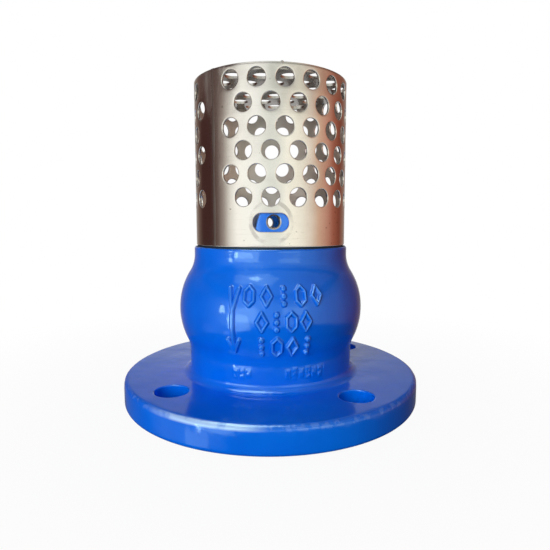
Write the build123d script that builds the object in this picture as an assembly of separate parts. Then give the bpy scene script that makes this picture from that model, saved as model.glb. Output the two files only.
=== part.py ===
from build123d import *
import math
import os

# Spring-loaded foot valve, DN65 PN16, standing on its pipe flange with the strainer upwards.
# Millimetres. +Z runs from the flange's sealing face to the strainer, and the origin is the
# centre of that face. Azimuth 0 is -Y, the front, and grows towards +X.

# Flange, EN 1092-2 DN65 PN16
FLANGE_R = 92.5
FLANGE_TOP = 19.0
RAISED_FACE_R = 59.0
RAISED_FACE_H = 3.0
FLANGE_EDGE = 1.8
BOLT_CIRCLE_R = 72.5
BOLT_HOLE_R = 9.5
BOLT_HOLES = 4
BOLT_AZIMUTH = -49.5

# Outer skin of the casting: a round belly between two necks, each hollow towards the belly
BELLY_R = 57.9
BELLY_Z = 60.0
BELLY_ARC = 43.0
LOW_NECK_R = 51.8
LOW_NECK_Z = 33.5
TOP_NECK_R = 48.2
TOP_NECK_Z = 93.5
FOOT_FILLET = 3.0
SHOULDER_Z = 98.3
LIP_EDGE = 1.2
WALL = 7.0

# Bores of the casting
OUTLET_R = 36.0
OUTLET_SHOULDER_Z = 24.0
OUTLET_THROAT_R = 33.5
CHAMBER_START_Z = 36.0
CEILING_Z = 82.0
LEDGE_R = 38.0
LEDGE_TOP = 84.0
INLET_R = 39.5
CIRCLIP_Z = 10.4
CIRCLIP_H = 1.6
CIRCLIP_GROOVE_R = 37.8
CIRCLIP_INNER_R = 34.4
CIRCLIP_GAP = 9.0
EAR_X = 6.6
EAR_Y = 32.6
EAR_R = 2.6
EAR_HOLE_R = 1.1

# Strainer register and the two drilled lugs cast on it
LAND_R = 46.2
LAND_TOP = 99.3
SPIGOT_R = 45.1
SPIGOT_TOP = 103.0
LUG_TOP = 120.0
LUG_HALF_BASE = 13.0
LUG_HALF_TOP = 7.4
LUG_CORNER = 3.0
LUG_AZIMUTH = 2.6
LUG_HOLE_Z = 113.1
LUG_HOLE_R = 3.4
LUG_CHAMFER = 0.7

# Raised marks on the belly
MARK_HEIGHT = 1.0
MARK_SIZE = 4.3
MARK_RING = 2.2
MARK_CORNER = 0.8
PIP_R = 1.4
PIP_STEP = 3.9
DIAMOND_SIDE = 6.0
MARK_ROWS = ((73.8, 7.5, 9.5, 5), (60.3, 7.4, 7.9, 4), (46.4, 8.1, 8.6, 4))
ARROW_AZIMUTH = -20.5
ARROW_LOW = 42.8
ARROW_HIGH = 77.8
ARROW_HEAD_H = 8.6
ARROW_HALF_WIDTH = 3.6
ARROW_STEM_HALF = 1.1

# Strainer
STRAINER_R = 46.8
SHEET = 1.5
STRAINER_TOP = 196.3
HOLE_R = 5.0
TOP_ROW_Z = 188.7
ROW_PITCH = 12.43
ROWS = 6
HOLES_PER_ROW = 18
HOLE_STEP = 18.8
FIRST_AZIMUTH = -27.6
SEAM_AZIMUTH = -42.5
SEAM_GAP = 1.2
SEAM_BEAD = 3.0
SEAM_PROUD = 0.2
SLOT_LENGTH = 20.0
SLOT_WIDTH = 10.0
SLOT_Z = 112.8
SLOT_AZIMUTH = 0.5
PLATE_Z = 192.7
PLATE_PITCH = 15.4
PLATE_OFFSET_X = -4.7
PLATE_FIRST_Y = -33.6
PLATE_HOLE_REACH = 43.0
TACKS = 6
TACK_R = 1.5
TACK_SINK = 0.3
RIM_BEAD_R = 1.0
RIM_BEAD_SINK = 0.4
RIM_BEAD_AZIMUTH = 8.0

# Seat ring, screwed into the inlet
SEAT_Z = 81.0
SEAT_BORE_R = 32.5
SEAT_LIP_R = 35.0
SEAT_NOSE_R = 37.5
SEAT_NOSE_H = 2.0
SEAT_TOP = 98.0
SEAT_FUNNEL = 2.5
SPANNER_SLOTS = 4
SPANNER_SLOT_W = 6.2
SPANNER_SLOT_H = 2.0
SPANNER_SLOT_REACH = 4.0
O_RING_Z = 93.5
O_RING_WIRE_R = 1.1
O_RING_ROOM = 0.3
INLET_HUB_R = 8.0
INLET_HUB_Z = 88.5
INLET_HUB_TOP = 102.0
INLET_ARM_Z = 89.5
INLET_ARM_TOP = 96.5
INLET_ARMS = 3
INLET_BUSH_R = 5.6
ARM_WIDTH = 5.0

# Outlet guide, held in the flange's bore by a circlip
GUIDE_Z = CIRCLIP_Z + CIRCLIP_H
GUIDE_INNER_R = 32.5
GUIDE_ARMS = 4
GUIDE_ARM_TOP = 23.0
GUIDE_HUB_R = 16.5
SPRING_SEAT_Z = 27.0
PILOT_R = 12.0
PILOT_TOP = 33.0
OUTLET_BUSH_R = 6.5

# Stem and valve disc, shown closed
STEM_R = 4.0
STEM_LOW = 18.0
STEM_HIGH = 110.0
THREAD_R = 5.0
THREAD_LOW = 60.0
COLLAR_R = 9.0
COLLAR_TOP = 87.0
RUNNING_GAP = 0.05
DISC_R = 36.9
DISC_BOTTOM = 73.0
DISC_HUB_R = 20.0
DISC_UNDERSIDE = 74.5
SEAL_INNER_R = 24.0
SEAL_OUTER_R = 36.0
SEAL_H = 4.0
DISC_RIM_DROP = 0.5
CLAMP_R = 31.0
CLAMP_TOP = 84.0
CUP_R = 17.0
CUP_WALL = 1.5
CUP_LIP_H = 3.0
WASHER_R = 10.0
WASHER_H = 1.5
NUT_FLATS = 16.0
NUT_CORNER_R = 9.5
NUT_H = 9.0
NUT_SLOT_W = 2.8
NUT_SLOT_H = 3.6
PIN_R = 1.2
PIN_OVERHANG = 0.9
EYE_R = 1.2
EYE_WIRE_R = 0.7
LEG_R = 0.6
LEG_LENGTH = 4.2
LEG_SPREAD = 1.6

# Closing spring
WIRE_R = 0.8
SPRING_R = 13.5
SPRING_TURNS = 7
SPRING_WASHER_H = 1.2

EDGE_BREAK = 1.0
CUT_MARGIN = 5.0
OVERLAP = 1.0


def tall(radius, low, high):
    """A solid cylinder on the axis from z=low to z=high."""
    height = high - low
    return Pos(0, 0, low) * Cylinder(radius, height, align=(Align.CENTER, Align.CENTER, Align.MIN))


def ring(inner, outer, low, high):
    """A plain tube on the axis."""
    return tall(outer, low, high) - tall(inner, low - CUT_MARGIN, high + CUT_MARGIN)


def turned(*points):
    """A body of revolution from its section, given as (radius, z) points."""
    return revolve(make_face(Plane.XZ * Polyline(*points, close=True)), Axis.Z)


def at_azimuth(degrees, shape):
    """Turns a shape modelled at the front to the given azimuth."""
    return Rot(0, 0, degrees) * shape


def radial_pin(radius, near, far, z):
    """A cylinder along -Y from radius near to radius far at height z."""
    middle = (near + far) / 2
    return Pos(0, -middle, z) * Rot(90, 0, 0) * Cylinder(radius, far - near)


def neck_arc(neck_r, neck_z):
    """Radius of the hollow arc with its waist at (neck_r, neck_z) that runs smoothly into the belly."""
    run = neck_r - (BELLY_R - BELLY_ARC)
    rise = neck_z - BELLY_Z
    return (run**2 + rise**2 - BELLY_ARC**2) / (2 * (BELLY_ARC - run))


def arc_about(centre, start, end):
    """The short arc from start to end about a centre, all as (radius, z)."""
    out = Vector(*start) - Vector(*centre) + Vector(*end) - Vector(*centre)
    radius = (Vector(*start) - Vector(*centre)).length
    middle = Vector(*centre) + out.normalized() * radius
    return ThreePointArc(start, (middle.X, middle.Y), end)


def between(start, end, distance):
    """The point at a distance from start towards end, as (radius, z)."""
    point = Vector(*start) + (Vector(*end) - Vector(*start)).normalized() * distance
    return (point.X, point.Y)


def skin(offset=0.0):
    """The casting's solid outer form from the flange's top to the shoulder, grown by offset."""
    belly = (BELLY_R - BELLY_ARC, BELLY_Z)
    low_centre = (LOW_NECK_R + neck_arc(LOW_NECK_R, LOW_NECK_Z), LOW_NECK_Z)
    top_centre = (TOP_NECK_R + neck_arc(TOP_NECK_R, TOP_NECK_Z), TOP_NECK_Z)
    hub_r = LOW_NECK_R + offset
    neck_r = TOP_NECK_R + offset
    foot_centre = (LOW_NECK_R + FOOT_FILLET, FLANGE_TOP + FOOT_FILLET)
    foot_end = (foot_centre[0], FLANGE_TOP + offset)
    foot_start = (hub_r, foot_centre[1])
    low_join = between(belly, low_centre, BELLY_ARC + offset)
    top_join = between(belly, top_centre, BELLY_ARC + offset)
    outline = [
        Line((0, FLANGE_TOP + offset), foot_end),
        arc_about(foot_centre, foot_end, foot_start),
        Line(foot_start, (hub_r, LOW_NECK_Z)),
        arc_about(low_centre, (hub_r, LOW_NECK_Z), low_join),
        arc_about(belly, low_join, top_join),
        arc_about(top_centre, top_join, (neck_r, TOP_NECK_Z)),
        Line((neck_r, TOP_NECK_Z), (neck_r, SHOULDER_Z)),
        Line((neck_r, SHOULDER_Z), (0, SHOULDER_Z)),
        Line((0, SHOULDER_Z), (0, FLANGE_TOP + offset)),
    ]
    return revolve(make_face(Plane.XZ * Curve(outline)), Axis.Z)


def top_edge(solid, z):
    """The largest circular edge at height z."""
    edges = solid.edges().filter_by(GeomType.CIRCLE).filter_by_position(Axis.Z, z - 0.01, z + 0.01)
    return max(edges, key=lambda edge: edge.radius)


def flange():
    plate = tall(FLANGE_R, RAISED_FACE_H, FLANGE_TOP)
    plate = fillet(top_edge(plate, RAISED_FACE_H), FLANGE_EDGE)
    plate = fillet(top_edge(plate, FLANGE_TOP), FLANGE_EDGE)
    return plate + tall(RAISED_FACE_R, 0, FLANGE_TOP)


def cavity():
    """The flow passage through the casting, as the solid to take away."""
    belly = (BELLY_R - BELLY_ARC, BELLY_Z)
    inner_arc = BELLY_ARC - WALL
    start_r = belly[0] + math.sqrt(inner_arc**2 - (CHAMBER_START_Z - BELLY_Z) ** 2)
    ceiling_r = belly[0] + math.sqrt(inner_arc**2 - (CEILING_Z - BELLY_Z) ** 2)
    outline = [
        Polyline(
            (ceiling_r, CEILING_Z),
            (LEDGE_R, CEILING_Z),
            (LEDGE_R, LEDGE_TOP),
            (INLET_R, LEDGE_TOP),
            (INLET_R, LUG_TOP + CUT_MARGIN),
            (0, LUG_TOP + CUT_MARGIN),
            (0, -CUT_MARGIN),
            (OUTLET_R, -CUT_MARGIN),
            (OUTLET_R, OUTLET_SHOULDER_Z),
            (OUTLET_THROAT_R, OUTLET_SHOULDER_Z),
            (start_r, CHAMBER_START_Z),
        ),
        arc_about(belly, (start_r, CHAMBER_START_Z), (ceiling_r, CEILING_Z)),
    ]
    return revolve(make_face(Plane.XZ * Curve(outline)), Axis.Z)


def strainer_lug(azimuth):
    """A tapering tab with a tapped hole, cast on the spigot; a node of its own above the spigot's top."""
    tab = Polyline(
        (-LUG_HALF_BASE, SHOULDER_Z),
        (LUG_HALF_BASE, SHOULDER_Z),
        (LUG_HALF_TOP, LUG_TOP),
        (-LUG_HALF_TOP, LUG_TOP),
        close=True,
    )
    face = make_face(Plane.XZ * tab)
    face = fillet(face.vertices().sort_by(Axis.Z)[-2:], LUG_CORNER)
    block = extrude(face, 2 * SPIGOT_R) & ring(INLET_R, SPIGOT_R, SPIGOT_TOP, LUG_TOP)
    mouth = Pos(0, -SPIGOT_R, LUG_HOLE_Z) * Rot(90, 0, 0)
    mouth *= Cone(LUG_HOLE_R - LUG_CHAMFER, LUG_HOLE_R + LUG_CHAMFER, 2 * LUG_CHAMFER)
    hole = radial_pin(LUG_HOLE_R, INLET_R - CUT_MARGIN, STRAINER_R, LUG_HOLE_Z)
    return at_azimuth(azimuth, block - hole - mouth)


def mark(kind):
    """A flat raised mark, drawn about the origin: a hexagon ring, a diamond or three pips."""
    if kind == 0:
        return RegularPolygon(MARK_SIZE, 6) - RegularPolygon(MARK_RING, 6)
    if kind == 1:
        return Rot(0, 0, 45) * RectangleRounded(DIAMOND_SIDE, DIAMOND_SIDE, MARK_CORNER)
    pip = Circle(PIP_R)
    return Pos(0, -PIP_STEP) * pip + pip + Pos(0, PIP_STEP) * pip


def flow_arrow():
    """The arrow along the flow, towards the flange."""
    head_top = ARROW_LOW + ARROW_HEAD_H
    left = (-ARROW_HALF_WIDTH, head_top)
    right = (ARROW_HALF_WIDTH, head_top)
    head = make_face(Polyline((0, ARROW_LOW), right, left, close=True))
    shaft_low = head_top - OVERLAP
    shaft = Rectangle(2 * ARROW_STEM_HALF, ARROW_HIGH - shaft_low)
    return head + Pos(0, (ARROW_HIGH + shaft_low) / 2) * shaft


def marks():
    """All the raised marks, cut to a shell that follows the belly."""
    stand = SHOULDER_Z
    prisms = at_azimuth(ARROW_AZIMUTH, extrude(Plane.XZ * flow_arrow(), stand))
    for row, (z, middle, step, count) in enumerate(MARK_ROWS):
        for index in range(count):
            azimuth = middle + (index - (count - 1) / 2) * step
            shape = extrude(Plane.XZ * Pos(0, z) * mark((index + row) % 3), stand)
            prisms += at_azimuth(azimuth, shape)
    return prisms & (skin(MARK_HEIGHT) - skin(-MARK_HEIGHT))


def valve_body():
    neck = fillet(top_edge(skin(), SHOULDER_Z), LIP_EDGE)
    body = flange() + neck + marks()
    body += tall(LAND_R, SHOULDER_Z - OVERLAP, LAND_TOP) + tall(SPIGOT_R, SHOULDER_Z, SPIGOT_TOP)
    body -= cavity()
    body -= ring(OUTLET_R - OVERLAP, CIRCLIP_GROOVE_R, CIRCLIP_Z, CIRCLIP_Z + CIRCLIP_H)
    for index in range(BOLT_HOLES):
        hole = Pos(0, -BOLT_CIRCLE_R, FLANGE_TOP / 2) * Cylinder(BOLT_HOLE_R, 2 * FLANGE_TOP)
        body -= at_azimuth(BOLT_AZIMUTH + index * 360 / BOLT_HOLES, hole)
    return body


def strainer_tube():
    tube = ring(STRAINER_R - SHEET, STRAINER_R, LAND_TOP, STRAINER_TOP)
    holes = []
    for row in range(ROWS):
        z = TOP_ROW_Z - row * ROW_PITCH
        start = FIRST_AZIMUTH + (row % 2) * HOLE_STEP / 2
        for index in range(HOLES_PER_ROW):
            pin = radial_pin(HOLE_R, STRAINER_R - CUT_MARGIN, STRAINER_R + CUT_MARGIN, z)
            holes.append(at_azimuth(start + index * HOLE_STEP, pin))
    slot = extrude(Plane.XZ * Pos(0, SLOT_Z) * SlotOverall(SLOT_LENGTH, SLOT_WIDTH), 2 * STRAINER_R)
    holes += [at_azimuth(SLOT_AZIMUTH, slot), at_azimuth(SLOT_AZIMUTH + 180, slot)]
    height = STRAINER_TOP - LAND_TOP
    slit = Pos(0, -STRAINER_R, LAND_TOP + height / 2) * Box(SEAM_GAP, 4 * SHEET, 2 * height)
    return tube - holes - at_azimuth(SEAM_AZIMUTH, slit)


def strainer_seam_weld(tube):
    """The bead that closes the rolled sheet, full length and slightly proud on both faces."""
    height = STRAINER_TOP - LAND_TOP
    strip = Pos(0, -STRAINER_R, LAND_TOP + height / 2) * Box(SEAM_BEAD, 4 * SHEET, height)
    band = ring(STRAINER_R - SHEET - SEAM_PROUD, STRAINER_R + SEAM_PROUD, LAND_TOP, STRAINER_TOP)
    return (at_azimuth(SEAM_AZIMUTH, strip) & band) - tube


def strainer_end_plate():
    """A disc punched from staggered perforated sheet, so holes at its edge are cut through."""
    plate = tall(STRAINER_R - SHEET, PLATE_Z, PLATE_Z + SHEET)
    row_pitch = PLATE_PITCH * math.sqrt(3) / 2
    reach = int(2 * STRAINER_R / PLATE_PITCH)
    holes = []
    for row in range(ROWS):
        y = PLATE_FIRST_Y + row * row_pitch
        shift = PLATE_OFFSET_X + (row % 2) * PLATE_PITCH / 2
        for column in range(-reach, reach + 1):
            x = shift + column * PLATE_PITCH
            if math.hypot(x, y) < PLATE_HOLE_REACH:
                holes.append(Pos(x, y, 0) * tall(HOLE_R, PLATE_Z - SHEET, PLATE_Z + 2 * SHEET))
    notch_depth = 2 * (SEAM_PROUD + RUNNING_GAP)
    notch = Pos(0, -STRAINER_R + SHEET, PLATE_Z) * Box(SEAM_BEAD + OVERLAP, notch_depth, 4 * SHEET)
    return plate - holes - at_azimuth(SEAM_AZIMUTH, notch)


def end_plate_tack_welds(tube, plate):
    """Small beads that hold the end plate in the tube, and one that has run onto the rim."""
    rim_bead = Pos(0, -(STRAINER_R - SHEET / 2), STRAINER_TOP - RIM_BEAD_SINK) * Sphere(RIM_BEAD_R)
    tack = Pos(0, -(STRAINER_R - SHEET - TACK_SINK), PLATE_Z + SHEET + TACK_SINK) * Sphere(TACK_R)
    beads = at_azimuth(RIM_BEAD_AZIMUTH, rim_bead)
    for index in range(TACKS):
        beads += at_azimuth(RIM_BEAD_AZIMUTH + (index + 0.5) * 360 / TACKS, tack)
    left = (beads - tube - plate).solids()
    return Compound([bead for bead in left if bead.volume > TACK_R / 2])


def spider(hub_r, hub_z, hub_top, arm_z, arm_top, rim_r, arms, turn):
    """A hub on the axis with flat arms out to a ring's bore."""
    body = tall(hub_r, hub_z, hub_top)
    near = hub_r / 2
    far = rim_r + OVERLAP
    arm = Box(ARM_WIDTH, far - near, arm_top - arm_z)
    arm = Pos(0, -(near + far) / 2, (arm_z + arm_top) / 2) * arm
    for index in range(arms):
        body += at_azimuth(turn + index * 360 / arms, arm)
    return body


def seat_ring():
    """The seat with its inlet guide, one turned and milled piece, screwed in with a pin spanner."""
    body = turned(
        (SEAT_BORE_R, SEAT_Z),
        (SEAT_LIP_R, SEAT_Z),
        (SEAT_NOSE_R, SEAT_Z + SEAT_NOSE_H),
        (SEAT_NOSE_R, LEDGE_TOP),
        (INLET_R, LEDGE_TOP),
        (INLET_R, SEAT_TOP - EDGE_BREAK),
        (INLET_R - EDGE_BREAK, SEAT_TOP),
        (SEAT_BORE_R + SEAT_FUNNEL, SEAT_TOP),
        (SEAT_BORE_R, SEAT_TOP - SEAT_FUNNEL),
    )
    groove_half = O_RING_WIRE_R + O_RING_ROOM
    groove_r = INLET_R - 2 * O_RING_WIRE_R
    body -= ring(groove_r, INLET_R + OVERLAP, O_RING_Z - groove_half, O_RING_Z + groove_half)
    notch = Box(SPANNER_SLOT_W, 2 * SPANNER_SLOT_REACH, 2 * SPANNER_SLOT_H)
    notch = Pos(0, -INLET_R, SEAT_TOP) * notch
    for index in range(SPANNER_SLOTS):
        body -= at_azimuth((index + 0.5) * 360 / SPANNER_SLOTS, notch)
    heights = (INLET_HUB_Z, INLET_HUB_TOP, INLET_ARM_Z, INLET_ARM_TOP)
    body += spider(INLET_HUB_R, *heights, SEAT_BORE_R, INLET_ARMS, 180 / INLET_ARMS)
    return body - tall(INLET_BUSH_R, INLET_HUB_Z - OVERLAP, INLET_HUB_TOP + OVERLAP)


def seat_ring_o_ring():
    return Pos(0, 0, O_RING_Z) * Torus(INLET_R - O_RING_WIRE_R, O_RING_WIRE_R)


def outlet_guide():
    """A drop-in spider whose hub guides the stem and carries the spring."""
    body = ring(GUIDE_INNER_R, OUTLET_R, GUIDE_Z, OUTLET_SHOULDER_Z)
    heights = (GUIDE_Z, SPRING_SEAT_Z, GUIDE_Z + EDGE_BREAK, GUIDE_ARM_TOP)
    body += spider(GUIDE_HUB_R, *heights, GUIDE_INNER_R, GUIDE_ARMS, 180 / GUIDE_ARMS)
    body += tall(PILOT_R, SPRING_SEAT_Z - OVERLAP, PILOT_TOP)
    return body - tall(OUTLET_BUSH_R, GUIDE_Z - OVERLAP, PILOT_TOP + OVERLAP)


def outlet_circlip():
    """An internal retaining ring with a gap and two eared ends."""
    top = CIRCLIP_Z + CIRCLIP_H
    clip = ring(CIRCLIP_INNER_R, CIRCLIP_GROOVE_R - 2 * RUNNING_GAP, CIRCLIP_Z, top)
    clip -= Pos(0, -OUTLET_R, CIRCLIP_Z) * Box(CIRCLIP_GAP, CIRCLIP_GAP, 4 * CIRCLIP_H)
    for side in (-1, 1):
        place = Pos(side * EAR_X, -EAR_Y, 0)
        clip += place * tall(EAR_R, CIRCLIP_Z, top)
        clip -= place * tall(EAR_HOLE_R, CIRCLIP_Z - OVERLAP, top + OVERLAP)
    return clip


def valve_disc():
    top = SEAT_Z - DISC_RIM_DROP
    groove = SEAT_Z - SEAL_H
    return turned(
        (THREAD_R, DISC_BOTTOM),
        (DISC_HUB_R, DISC_BOTTOM),
        (DISC_HUB_R + 2 * EDGE_BREAK, DISC_UNDERSIDE),
        (DISC_R - EDGE_BREAK, DISC_UNDERSIDE),
        (DISC_R, DISC_UNDERSIDE + EDGE_BREAK),
        (DISC_R, top),
        (SEAL_OUTER_R, top),
        (SEAL_OUTER_R, groove),
        (SEAL_INNER_R, groove),
        (SEAL_INNER_R, SEAT_Z),
        (THREAD_R, SEAT_Z),
    )


def seal_clamp_plate():
    return turned(
        (THREAD_R, SEAT_Z),
        (CLAMP_R, SEAT_Z),
        (CLAMP_R, CLAMP_TOP - EDGE_BREAK),
        (CLAMP_R - EDGE_BREAK, CLAMP_TOP),
        (THREAD_R, CLAMP_TOP),
    )


def stem():
    """Two guided journals and, between them, the threaded part below a solid collar."""
    rod = turned(
        (0, STEM_LOW),
        (STEM_R - EDGE_BREAK, STEM_LOW),
        (STEM_R, STEM_LOW + EDGE_BREAK),
        (STEM_R, THREAD_LOW - EDGE_BREAK),
        (THREAD_R, THREAD_LOW),
        (THREAD_R, CLAMP_TOP),
        (COLLAR_R, CLAMP_TOP),
        (COLLAR_R, COLLAR_TOP - EDGE_BREAK),
        (COLLAR_R - EDGE_BREAK, COLLAR_TOP),
        (STEM_R, COLLAR_TOP),
        (STEM_R, STEM_HIGH - EDGE_BREAK),
        (STEM_R - EDGE_BREAK, STEM_HIGH),
        (0, STEM_HIGH),
    )
    return rod - radial_pin(PIN_R + RUNNING_GAP, -2 * THREAD_R, 2 * THREAD_R, pin_z())


def pin_z():
    """Height of the split pin, in the nut's slots."""
    nut_bottom = DISC_BOTTOM - CUP_WALL - WASHER_H - NUT_H
    return nut_bottom + NUT_SLOT_H - PIN_R - RUNNING_GAP


def spring_cup():
    """A dished washer under the disc that centres the spring."""
    low = DISC_BOTTOM - CUP_WALL
    plate = ring(THREAD_R, CUP_R, low, DISC_BOTTOM)
    return plate + ring(CUP_R - CUP_WALL, CUP_R, low - CUP_LIP_H, low)


def stem_washer():
    top = DISC_BOTTOM - CUP_WALL
    return ring(THREAD_R, WASHER_R, top - WASHER_H, top)


def stem_nut():
    """A slotted hexagon nut with its slots downwards."""
    top = DISC_BOTTOM - CUP_WALL - WASHER_H
    hexagon = extrude(RegularPolygon(NUT_FLATS / 2, 6, major_radius=False), NUT_H)
    body = Pos(0, 0, top - NUT_H) * hexagon
    body &= turned(
        (0, top - NUT_H),
        (NUT_FLATS / 2, top - NUT_H),
        (NUT_CORNER_R, top - NUT_H + EDGE_BREAK),
        (NUT_CORNER_R, top),
        (0, top),
    )
    for index in range(3):
        slot = Pos(0, 0, top - NUT_H) * Box(NUT_SLOT_W, 3 * NUT_FLATS, 2 * NUT_SLOT_H)
        body -= at_azimuth(index * 60, slot)
    return body - tall(THREAD_R, top - NUT_H - OVERLAP, top + OVERLAP)


def split_pin():
    """A split pin through nut and stem, its eye at the front and its legs spread behind."""
    z = pin_z()
    reach = NUT_FLATS / 2 + PIN_OVERHANG
    pin = radial_pin(PIN_R, -reach, reach, z)
    pin += Pos(0, -reach - EYE_R / 2, z) * Rot(0, 90, 0) * Torus(EYE_R, EYE_WIRE_R)
    for side in (-1, 1):
        leg = Pos(side * LEG_SPREAD, reach, z) * Rot(0, 90, 0) * Cylinder(LEG_R, LEG_LENGTH)
        pin += leg
    return pin


def spring_seat_washer():
    top = SPRING_SEAT_Z + SPRING_WASHER_H
    return ring(PILOT_R + RUNNING_GAP, GUIDE_HUB_R - EDGE_BREAK / 2, SPRING_SEAT_Z, top)


def closing_spring():
    low = SPRING_SEAT_Z + SPRING_WASHER_H + WIRE_R + RUNNING_GAP
    high = DISC_BOTTOM - CUP_WALL - WIRE_R - RUNNING_GAP
    coil = Helix((high - low) / SPRING_TURNS, high - low, SPRING_R, center=(0, 0, low))
    section = Plane(origin=coil @ 0, z_dir=coil % 0) * Circle(WIRE_R)
    return sweep(section, path=coil, is_frenet=True)


def main():
    os.makedirs("parts", exist_ok=True)
    tube = strainer_tube()
    plate = strainer_end_plate()
    nodes = {
        "valve_body": valve_body(),
        "front_strainer_lug": strainer_lug(LUG_AZIMUTH),
        "rear_strainer_lug": strainer_lug(LUG_AZIMUTH + 180),
        "strainer_tube": tube,
        "strainer_seam_weld": strainer_seam_weld(tube),
        "strainer_end_plate": plate,
        "end_plate_tack_welds": end_plate_tack_welds(tube, plate),
        "seat_ring": seat_ring(),
        "seat_ring_o_ring": seat_ring_o_ring(),
        "inlet_guide_bush": ring(STEM_R + RUNNING_GAP, INLET_BUSH_R, INLET_HUB_Z, INLET_HUB_TOP),
        "outlet_guide": outlet_guide(),
        "outlet_guide_bush": ring(STEM_R + RUNNING_GAP, OUTLET_BUSH_R, GUIDE_Z, PILOT_TOP),
        "outlet_circlip": outlet_circlip(),
        "spring_seat_washer": spring_seat_washer(),
        "closing_spring": closing_spring(),
        "stem": stem(),
        "valve_disc": valve_disc(),
        "disc_seal": ring(SEAL_INNER_R, SEAL_OUTER_R, SEAT_Z - SEAL_H, SEAT_Z),
        "seal_clamp_plate": seal_clamp_plate(),
        "spring_cup": spring_cup(),
        "stem_washer": stem_washer(),
        "stem_nut": stem_nut(),
        "split_pin": split_pin(),
    }
    for name, shape in nodes.items():
        export_step(shape, f"parts/{name}.step")


main()
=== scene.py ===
import math

import bmesh
import bpy
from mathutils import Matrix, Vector, noise


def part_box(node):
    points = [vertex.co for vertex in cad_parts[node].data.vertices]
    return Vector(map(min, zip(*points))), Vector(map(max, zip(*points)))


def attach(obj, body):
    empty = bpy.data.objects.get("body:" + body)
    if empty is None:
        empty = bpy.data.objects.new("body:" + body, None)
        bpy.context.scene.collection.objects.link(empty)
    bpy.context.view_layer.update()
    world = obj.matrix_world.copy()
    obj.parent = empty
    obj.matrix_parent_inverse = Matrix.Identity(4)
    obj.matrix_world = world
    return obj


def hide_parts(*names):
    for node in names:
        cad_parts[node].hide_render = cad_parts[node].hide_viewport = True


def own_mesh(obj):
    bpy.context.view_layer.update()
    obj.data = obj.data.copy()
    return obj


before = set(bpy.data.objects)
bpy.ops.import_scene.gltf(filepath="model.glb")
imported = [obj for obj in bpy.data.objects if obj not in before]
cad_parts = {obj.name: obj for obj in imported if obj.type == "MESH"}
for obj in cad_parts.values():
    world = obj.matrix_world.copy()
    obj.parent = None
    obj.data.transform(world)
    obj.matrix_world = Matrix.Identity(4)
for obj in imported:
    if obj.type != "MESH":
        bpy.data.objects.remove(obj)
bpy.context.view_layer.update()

# The looks of a spring-loaded foot valve that stands on its flange. Lengths are in millimetres up to
# the point where a mesh is made, angles in degrees; azimuth 0 is the front (-Y) and grows towards +X.

MM = 0.001


def span(node):
    """A node's outer radius, lowest z and highest z in millimetres, for a node on the axis."""
    low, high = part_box(node)
    return (high.x - low.x) / 2 / MM, low.z / MM, high.z / MM


# Sizes read from the frame
FLANGE_R, _, SPIGOT_TOP = span("valve_body")
LUG_TOP = span("front_strainer_lug")[2]
TUBE_R, TUBE_LOW, TUBE_TOP = span("strainer_tube")
SEAT_R = span("seat_ring")[0]
SPRING_OUT_R, SPRING_LOW, SPRING_TOP = span("closing_spring")

# The casting, as the CAD body has it but for a softer flange edge and foot fillet
RAISED_FACE_R = 59.0
RAISED_FACE_H = 3.0
FLANGE_TOP = 19.0
FLANGE_EDGE = 2.8
BOLT_CIRCLE_R = 72.5
BOLT_HOLE_R = 9.5
BOLT_AZIMUTH = -49.5
HOLE_LIP = 0.9
HOLE_COUNT = 4
BELLY_R = 57.9
BELLY_Z = 60.0
BELLY_ARC = 43.0
LOW_NECK = (51.8, 33.5)
TOP_NECK = (48.2, 93.5)
FOOT_FILLET = 5.0
SHOULDER_Z = 98.3
LIP_EDGE = 1.2
WALL = 7.0
OUTLET_R = 36.0
OUTLET_SHOULDER_Z = 24.0
THROAT_R = 33.5
CHAMBER_START_Z = 36.0
CEILING_Z = 82.0
LEDGE_R = 38.0
LEDGE_TOP = 84.0
CLIP_Z = 10.4
CLIP_TOP = 12.0
CLIP_GROOVE_R = 37.8
LAND_R = 46.2
SPIGOT_R = 45.1
LUG_HALF_BASE = 13.0
LUG_HALF_TOP = 7.4
LUG_AZIMUTH = 2.6
LUG_HOLE_Z = 113.1
THREAD_CORE_R = 3.4
THREAD_DEPTH = 0.55
THREAD_PITCH = 1.25

# Raised marks: azimuth and height of each row's middle, azimuth step, and the marks in it
MARK_HEIGHT = 1.5
MARK_HALF = 1.25
RIM_WAVE = 0.28
RIM_WIDTH = 3.0
MARK_ROWS = ((7.5, 73.8, 9.5, 5), (7.4, 60.3, 7.9, 4), (8.1, 46.4, 8.6, 4))
MARK_KINDS = ("hexagon", "diamond", "pips")
ARROW_AZIMUTH = -20.4
FAINT_HEIGHT = 0.32
FAINT_STEP = 4.4
FAINT_ROWS = ((-17.5, 3), (24.0, 7))
FAINT_Z = 29.8
WAVE_HEIGHT = 0.13
WAVE_LENGTH = 16.0
PARTING_HEIGHT = 0.45
PARTING_HALF = 0.9
PARTING_AZIMUTHS = (90, 270)
RELIEF_AZIMUTHS = (-28.0, 36.0)

# The strainer's sheet
SHEET = 1.5
HOLE_R = 5.0
ROWS = 6
TOP_ROW_Z = 188.7
ROW_PITCH = 12.43
HOLES_PER_ROW = 18
HOLE_STEP = 18.8
FIRST_AZIMUTH = -27.6
SEAM_AZIMUTH = -42.5
SEAM_HALF_GAP = 0.6
SLOT_Z = 112.8
SLOT_HALF_FLAT = 5.0
SLOT_R = 5.0
SLOT_AZIMUTHS = (0.5, 180.5)
EDGE_ROUND = 0.3
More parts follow.
